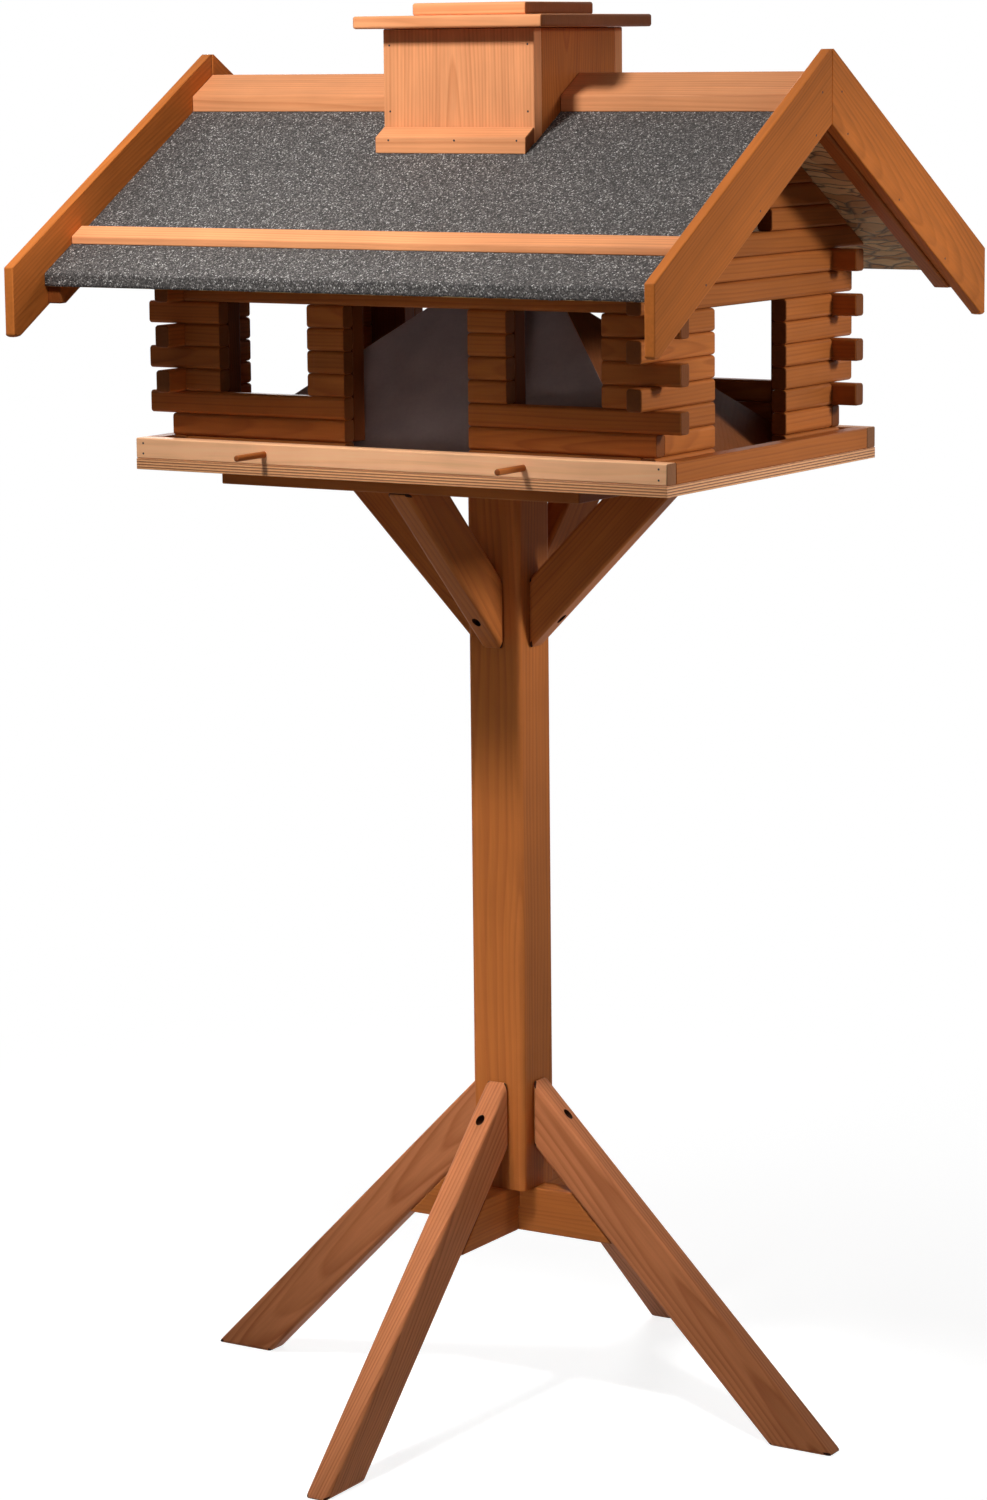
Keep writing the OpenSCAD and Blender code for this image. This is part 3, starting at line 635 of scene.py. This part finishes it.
def mineral_felt(name):
    """Bitumen roofing felt pressed full of crushed slate: matt grey grit with a few grains that glint."""
    material, tree, shader = new_material(name)
    place = object_place(tree)
    grit = add(tree, "TexVoronoi", {"Vector": place, "Scale": 1 / sizes().granule}).outputs
    level = add(tree, "SeparateColor", {0: grit["Color"]}).outputs
    stops = [(at, linear(hue)) for at, hue in GRIT_STOPS]
    stops.insert(2, (0.78, colours().granule))

    # The grit lies thicker and thinner in drifts of some 140 mm
    drift = ranged(tree, cloud(tree, place, 7, 3), 0.75, 1.25)
    fill(tree, shader, {
        "Base Color": scaled(tree, ramped(tree, level[0], stops), drift),
        "Roughness": ranged(tree, level[1], 0.85, 0.35, 0.85, 1.0),
        "Normal": relief(tree, grit["Distance"], 0.5 * MM, 0.8, invert=True),
    })
    return material


def painted_board(name):
    """Hardboard rolled with slate grey paint: matt and even, with faint roller mottle and dusty rubs."""
    material, tree, shader = new_material(name)
    place = object_place(tree)

    # Roller mottle 4 mm wide, and dusty rubs some 60 mm wide
    mottle, dust = cloud(tree, place, 260, 2), cloud(tree, place, 16, 4)
    dusty = ranged(tree, dust, 0.86, 1.14, 0.3, 0.7)
    light = calc(tree, "MULTIPLY", ranged(tree, mottle, 0.92, 1.08), dusty)
    fill(tree, shader, {
        # Painted light: the slate colour is paler and pinker than the grey paint, for the warm light inside the
        # house
        "Base Color": scaled(tree, colours().slate[:3], light),
        "Roughness": ranged(tree, dust, 0.5, 0.75),
        "Normal": relief(tree, mottle, 0.15 * MM, 0.4),
    })
    return material


def zinc_steel(name):
    """Zinc-plated steel, drawn and dulled: grey metal, its plating clouded with dark spots of 2.5 mm."""
    material, tree, shader = new_material(name)
    plating = cloud(tree, object_place(tree), 400, 3)
    fill(tree, shader, {
        "Base Color": ramped(tree, plating, [(0.35, linear("#4a4440")), (0.6, colours().steel)]),
        "Metallic": 1.0,
        "Roughness": ranged(tree, plating, 0.5, 0.3),
    })
    return material


def blued_wire_and_hole_shade(name):
    """Blued steel of brads and sunk screws, 1 mm stain specks, near black as painted hole shade: a dark dot."""
    material, tree, shader = new_material(name)
    speck = cloud(tree, object_place(tree), 900, 2)
    fill(tree, shader, {
        "Base Color": ramped(tree, speck, [(0.4, linear("#0c0806")), (0.65, colours().brad)]),
        "Roughness": ranged(tree, speck, 0.75, 0.5),
    })
    return material


# Finish: colours of early wood, late wood and ends, contrast of the rings, share of knots, light at edges
WOODS = {
    "stained_pine_stand": ("stand", "stand_late", "soaked_and_shaded", 0.5, 0.3),  # plain brown with a few knots
    "stained_pine_legs": ("leg", "stand_late", "soaked_and_shaded", 0.6, 0.5),  # paler, with strong arched grain
    # Logs: their dark grooves are collected stain and painted shade
    "stained_pine_logs": ("logs", "logs_late", "log_end_soak_and_shade", 0.5, 0.25, 0.5),  # brown, with dark grooves
    # Battens: drawn nearly black as painted shade, for they stand deep inside the walls
    "stained_pine_battens": ("soaked_and_shaded", "batten_painted_shade", "soaked_and_shaded", 0.5),  # nearly black in the shade
    "stained_pine_boards": ("board", "board_late", "board", 0.5, 0.1),  # warm orange brown
    "stained_pine_trim": ("trim", "trim_late", "soaked_and_shaded", 0.55, 0.1),  # pale orange with dark ends
    # Long rails: their paleness is painted light
    "stained_pine_rails": ("rail", "rail_late", "log_end_soak_and_shade", 0.45),  # the palest, with faint grain
    "stained_beech_dowel": ("stand", "stand_late", "stand_late", 0.3),  # even, hardly any grain
}


def stained_wood_of(name):
    """The stained wood of this name."""
    early, late, ends, *look = WOODS[name]
    hues = colours()
    return stained_wood(name, getattr(hues, early), getattr(hues, late), getattr(hues, ends), *look)


def finishes():
    """The finishes of the feeder by name, made once."""
    recipes = dict.fromkeys(WOODS, stained_wood_of) | {
        "stained_birch_plywood": birch_plywood,
        "bare_strand_board": strand_board,
        "mineral_roofing_felt": mineral_felt,
        "painted_hardboard_slate": painted_board,
        "zinc_plated_steel": zinc_steel,
        "blued_steel_and_hole_shade": blued_wire_and_hole_shade,
    }
    return {name: bpy.data.materials.get(name) or recipe(name) for name, recipe in recipes.items()}


def carry(node, material):
    """Gives a model node that stays as it is a finish of its own."""
    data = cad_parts[node].data
    data.materials.clear()
    data.materials.append(material)


# Operators, one for each group of like pieces


class FEEDER_OT_stand(bpy.types.Operator):
    """Planes and stains the post, the legs, the braces, the cross boards and the plate"""

    bl_idname = "feeder.stand"
    bl_label = "Stand"

    def execute(self, context):
        wood = finishes()["stained_pine_stand"]
        rub = sizes().stand_rub
        planed("post", wood, POST_RUB, cut="quarter")
        for side in SIDES:
            planed(f"{side}_leg", finishes()["stained_pine_legs"], rub, cut="flat")
            planed(f"{side}_brace", wood, rub)
        for board in ("cross_board_x", "cross_board_y"):
            planed(board, wood, rub / 2)
        planed("tray_plate", wood, rub / 3, cut="flat")
        return {"FINISHED"}


class FEEDER_OT_screws(bpy.types.Operator):
    """Blues the leg and brace screws near black, as painted shade of their holes, and zinc-plates the rest"""

    bl_idname = "feeder.screws"
    bl_label = "Screws"

    def execute(self, context):
        carry("stand_screws", finishes()["blued_steel_and_hole_shade"])
        for node in ("cross_screw", "plate_screws", "tray_screws"):
            carry(node, finishes()["zinc_plated_steel"])
        return {"FINISHED"}


class FEEDER_OT_tray(bpy.types.Operator):
    """Finishes the plywood floor and its four rails"""

    bl_idname = "feeder.tray"
    bl_label = "Tray"

    def execute(self, context):
        made = finishes()
        planed("tray_floor", made["stained_birch_plywood"], sizes().trim_rub / 2)
        for side in SIDES:
            # Painted light: the long rails take the palest stain, the side rails of the same wood the darker
            # stand stain
            lit_long_rail = side in ("front", "back")
            wood = made["stained_pine_rails" if lit_long_rail else "stained_pine_stand"]
            planed(f"{side}_rail", wood, sizes().trim_rub)
        return {"FINISHED"}


class FEEDER_OT_perches(bpy.types.Operator):
    """Rounds and stains the two perch pegs"""

    bl_idname = "feeder.perches"
    bl_label = "Perches"

    def execute(self, context):
        for side in ("left", "right"):
            planed(f"{side}_peg", finishes()["stained_beech_dowel"], PEG_RUB, shortest=0)
        return {"FINISHED"}


class FEEDER_OT_log_walls(bpy.types.Operator):
    """Mills and stains the logs of the four walls"""

    bl_idname = "feeder.log_walls"
    bl_label = "Log walls"

    def execute(self, context):
        wood = finishes()["stained_pine_logs"]
        long_wall, end_wall = ("sill", "corner", "pier", "header"), ("jamb", "header", "gable")
        for side in ("front", "back", "left", "right"):
            for name in long_wall if side in ("front", "back") else end_wall:
                planed(f"{side}_{name}_logs", wood, sizes().log_rub, shortest=1.5 * MM, segments=2)
        return {"FINISHED"}


class FEEDER_OT_battens(bpy.types.Operator):
    """Stains the battens inside the walls near black, as painted shade"""

    bl_idname = "feeder.battens"
    bl_label = "Battens"

    def execute(self, context):
        for node in ("pier_battens", "corner_battens"):
            planed(node, finishes()["stained_pine_battens"], sizes().log_rub, segments=2)
        return {"FINISHED"}


class FEEDER_OT_spreader(bpy.types.Operator):
    """Paints the faces of the seed spreader and stains its ends"""

    bl_idname = "feeder.spreader"
    bl_label = "Seed spreader"

    def execute(self, context):
        made = finishes()
        planed("spreader_faces", made["painted_hardboard_slate"], SPREADER_RUB, segments=2)
        # Painted light: the ends take the pale trim stain, to stand in for light through the end doorways
        planed("spreader_ends", made["stained_pine_trim"], SPREADER_RUB, segments=2)
        return {"FINISHED"}


class FEEDER_OT_roof_panels(bpy.types.Operator):
    """Gives the roof panels their pressed strands"""

    bl_idname = "feeder.roof_panels"
    bl_label = "Roof panels"

    def execute(self, context):
        for side in ("front", "back"):
            planed(f"{side}_roof_panel", finishes()["bare_strand_board"], PANEL_RUB, segments=2)
        return {"FINISHED"}


class FEEDER_OT_felt(bpy.types.Operator):
    """Lays the two sheets of roofing felt, with a waved edge turned down over the eaves"""

    bl_idname = "feeder.felt"
    bl_label = "Roofing felt"

    def execute(self, context):
        for side in ("front", "back"):
            finish_piece(
                felt_sheet(side), f"{side}_felt_laid", HOUSE, [f"{side}_felt"],
                finishes()["mineral_roofing_felt"],
            )
        return {"FINISHED"}


class FEEDER_OT_roof_trim(bpy.types.Operator):
    """Planes and stains the ridge boards, laths, barge boards and rafters"""

    bl_idname = "feeder.roof_trim"
    bl_label = "Roof boards"

    def execute(self, context):
        wood = finishes()["stained_pine_trim"]
        rub = sizes().trim_rub
        for node in ("front_ridge_boards", "back_ridge_boards", "roof_laths"):
            planed(node, wood, rub, cut="quarter")
        for node in ("left_barge_boards", "right_barge_boards"):
            planed(node, finishes()["stained_pine_boards"], rub, corner=sizes().barge_corner)
        planed("gable_rafters", finishes()["stained_pine_stand"], rub)
        return {"FINISHED"}


class FEEDER_OT_chimney(bpy.types.Operator):
    """Planes and stains the chimney and its skirts"""

    bl_idname = "feeder.chimney"
    bl_label = "Chimney"

    def execute(self, context):
        wood = finishes()["stained_pine_trim"]
        for node in ("chimney_front_board", "chimney_back_board"):
            planed(node, wood, sizes().trim_rub, cut="flat")
        # Painted shade: the side boards take the darker stand stain, though they are the same wood as the front
        # and back
        planed("chimney_side_boards", finishes()["stained_pine_stand"], sizes().trim_rub, cut="flat")
        planed("chimney_skirts", wood, sizes().trim_rub, cut="quarter")
        return {"FINISHED"}


class FEEDER_OT_brads(bpy.types.Operator):
    """Gives the brads of tray and roof their blued wire, near black as painted shade of their holes"""

    bl_idname = "feeder.brads"
    bl_label = "Brads"

    def execute(self, context):
        for node in ("tray_brads", "roof_brads"):
            carry(node, finishes()["blued_steel_and_hole_shade"])
        return {"FINISHED"}


class FEEDER_OT_lid(bpy.types.Operator):
    """Planes and stains the lid, its top plate and its block"""

    bl_idname = "feeder.lid"
    bl_label = "Lid"

    def execute(self, context):
        made = finishes()
        rub = 1.8 * sizes().trim_rub  # handled more than the rest
        planed("lid_plate", made["stained_pine_trim"], rub, body=LID, cut="quarter")
        planed("lid_top_plate", made["stained_pine_trim"], rub, body=LID, cut="quarter")
        planed("lid_block", made["stained_pine_stand"], sizes().trim_rub, body=LID)
        return {"FINISHED"}


# Stage: the camera gives the photograph's view, in a picture 987 pixels wide and 1500 high
CAMERA_PLACE = Vector((2231.36, -3608.85, 1410.22)) * MM
CAMERA_YAW_DEGREES = 31.963
CAMERA_PITCH_DEGREES = -9.611
CAMERA_ROLL_DEGREES = -0.596
CAMERA_LENS_MM = 100.16
FLOOR_HALF = 30.0
SHADOW_NEAR, SHADOW_FAR = 0.5, 1.8  # the floor's shadow is full within the first, gone past the second
FLOOR_GLOW = 0.84  # the floor's own white beside the feeder, to which the lamps add
AIR_LEVEL = 0.11

# Name, place, point it faces, side, watts and spread in degrees. The front lamp stands so steeply above
# the eave that the front wall lies wholly in its shade. The small lamps light the stand and the tray.
LAMPS = (
    ("front_lamp", (-0.2, -0.79, 1.95), (0, 0, 0.9), 0.15, 11, 180),
    ("tray_lamp", (-0.1, -1.3, 2.75), (0, -0.33, 0.57), 0.2, 0.42, 18),
    ("side_lamp", (2.4, 0.6, 1.8), (0.35, 0, 1.0), 0.4, 1.2, 30),
    ("house_lamp", (1.2, -2.3, 0.95), (0, -0.1, 1.08), 0.2, 0.035, 14),
    ("stand_lamp", (0.1, -1.9, 0.75), (0, -0.1, 0.45), 0.3, 0.28, 28),
    ("back_lamp", (-1.6, 2.2, 1.9), (0, 0, 0.8), 0.8, 28, 180),
)


def seen_rays(tree):
    """A number that is 1 for the camera's rays and for reflections, and 0 for the light on objects."""
    rays = add(tree, "LightPath").outputs
    seen = calc(tree, "MAXIMUM", rays["Is Camera Ray"], rays["Is Glossy Ray"])
    return calc(tree, "MAXIMUM", seen, rays["Is Transmission Ray"])


def studio_floor():
    """Pale floor that shows white to the camera where it is fully lit, and keeps the feeder's shadow.

    Close to the feeder its look is part glow and part grey that the lamps light, so a shadow shows. Further
    away the glow takes over at a strength of 1, which is white, and the floor meets the air without a line.
    """
    shape = bmesh.new()
    bmesh.ops.create_grid(shape, x_segments=8, y_segments=8, size=FLOOR_HALF)
    mesh = bpy.data.meshes.new("studio_floor")
    shape.to_mesh(mesh)
    shape.free()
    floor = bpy.data.objects.new("studio_floor", mesh)
    bpy.context.scene.collection.objects.link(floor)
    material, tree, shader = new_material("matt_studio_floor")
    distance = calc_vector(tree, "LENGTH", object_place(tree))
    close = ranged(tree, distance, 1.0, 0.0, SHADOW_NEAR, SHADOW_FAR, interpolation_type="SMOOTHSTEP")
    seen = seen_rays(tree)
    shaded = mixed(tree, close, linear("#000000"), linear("#a9a9a9"))
    fill(tree, shader, {
        "Base Color": mixed(tree, seen, colours().floor, shaded),
        "Roughness": 0.9,
        "Specular IOR Level": 0,
        "Emission Color": linear("#ffffff"),
        "Emission Strength": calc(tree, "MULTIPLY", seen, ranged(tree, close, 1.0, FLOOR_GLOW)),
    })
    mesh.materials.append(material)


def studio_world():
    """Even pale light from all round, which the camera and reflections see as white."""
    world = bpy.data.worlds.new("studio_air")
    bpy.context.scene.world = world
    world.use_nodes = True
    tree = world.node_tree
    tree.nodes.clear()
    strength = ranged(tree, seen_rays(tree), AIR_LEVEL, 1.0)
    air = add(tree, "Background", {"Color": linear("#ffffff"), "Strength": strength})
    add(tree, "OutputWorld", {"Surface": air.outputs[0]})


def lamp(name, place, target, size, watts, spread_degrees):
    """A soft square lamp that the camera doesn't see."""
    data = bpy.data.lights.new(name, "AREA")
    data.size = size
    data.energy = watts
    data.spread = math.radians(spread_degrees)
    light = bpy.data.objects.new(name, data)
    bpy.context.scene.collection.objects.link(light)
    light.location = place
    light.rotation_euler = (Vector(target) - Vector(place)).to_track_quat("-Z", "Y").to_euler()
    light.visible_camera = False


class FEEDER_OT_stage(bpy.types.Operator):
    """Sets the camera, the lamps, the white surroundings and the floor"""

    bl_idname = "feeder.stage"
    bl_label = "Stage"

    def execute(self, context):
        scene = context.scene
        scene.view_settings.view_transform = "Standard"
        yaw, pitch = math.radians(CAMERA_YAW_DEGREES), math.radians(CAMERA_PITCH_DEGREES)
        level = Vector((-math.sin(yaw), math.cos(yaw), 0))
        ahead = level * math.cos(pitch) + UP * math.sin(pitch)
        right = Vector((math.cos(yaw), math.sin(yaw), 0))
        turned = Matrix((right, right.cross(ahead), -ahead)).transposed().to_4x4()
        data = bpy.data.cameras.new("photograph_view")
        data.lens, data.sensor_width = CAMERA_LENS_MM, 36
        data.clip_start, data.clip_end = 0.1, 100
        camera = bpy.data.objects.new("photograph_view", data)
        scene.collection.objects.link(camera)
        roll = Matrix.Rotation(math.radians(CAMERA_ROLL_DEGREES), 4, "Z")
        camera.matrix_world = Matrix.Translation(CAMERA_PLACE) @ turned @ roll
        scene.camera = camera
        studio_floor()
        studio_world()
        for row in LAMPS:
            lamp(*row)
        return {"FINISHED"}


class FEEDER_PT_panel(bpy.types.Panel):
    """Lists the steps and values of the feeder"""

    bl_idname = "FEEDER_PT_panel"
    bl_label = "Bird feeder"
    bl_space_type = "VIEW_3D"
    bl_region_type = "UI"
    bl_category = "Feeder"

    def draw(self, context):
        for step in STEPS:
            self.layout.operator(step.bl_idname)
        for group in (context.scene.feeder_sizes, context.scene.feeder_colours):
            box = self.layout.box()
            for name in group.__annotations__:
                box.prop(group, name)


STEPS = (
    FEEDER_OT_stage, FEEDER_OT_stand, FEEDER_OT_screws, FEEDER_OT_tray, FEEDER_OT_perches,
    FEEDER_OT_log_walls, FEEDER_OT_battens, FEEDER_OT_spreader, FEEDER_OT_roof_panels, FEEDER_OT_felt,
    FEEDER_OT_roof_trim, FEEDER_OT_chimney, FEEDER_OT_brads, FEEDER_OT_lid,
)
CLASSES = (FeederColours, FeederSizes, *STEPS, FEEDER_PT_panel)


def register():
    """Registers the classes and hangs the two groups of values on the scene."""
    for cls in CLASSES:
        bpy.utils.register_class(cls)
    bpy.types.Scene.feeder_colours = PointerProperty(type=FeederColours)
    bpy.types.Scene.feeder_sizes = PointerProperty(type=FeederSizes)


def unregister():
    """Takes the classes and the groups of values away again."""
    del bpy.types.Scene.feeder_sizes
    del bpy.types.Scene.feeder_colours
    for cls in reversed(CLASSES):
        bpy.utils.unregister_class(cls)


def main():
    register()
    for step in STEPS:
        group, name = step.bl_idname.split(".")
        getattr(getattr(bpy.ops, group), name)()


if __name__ == "__main__":
    main()
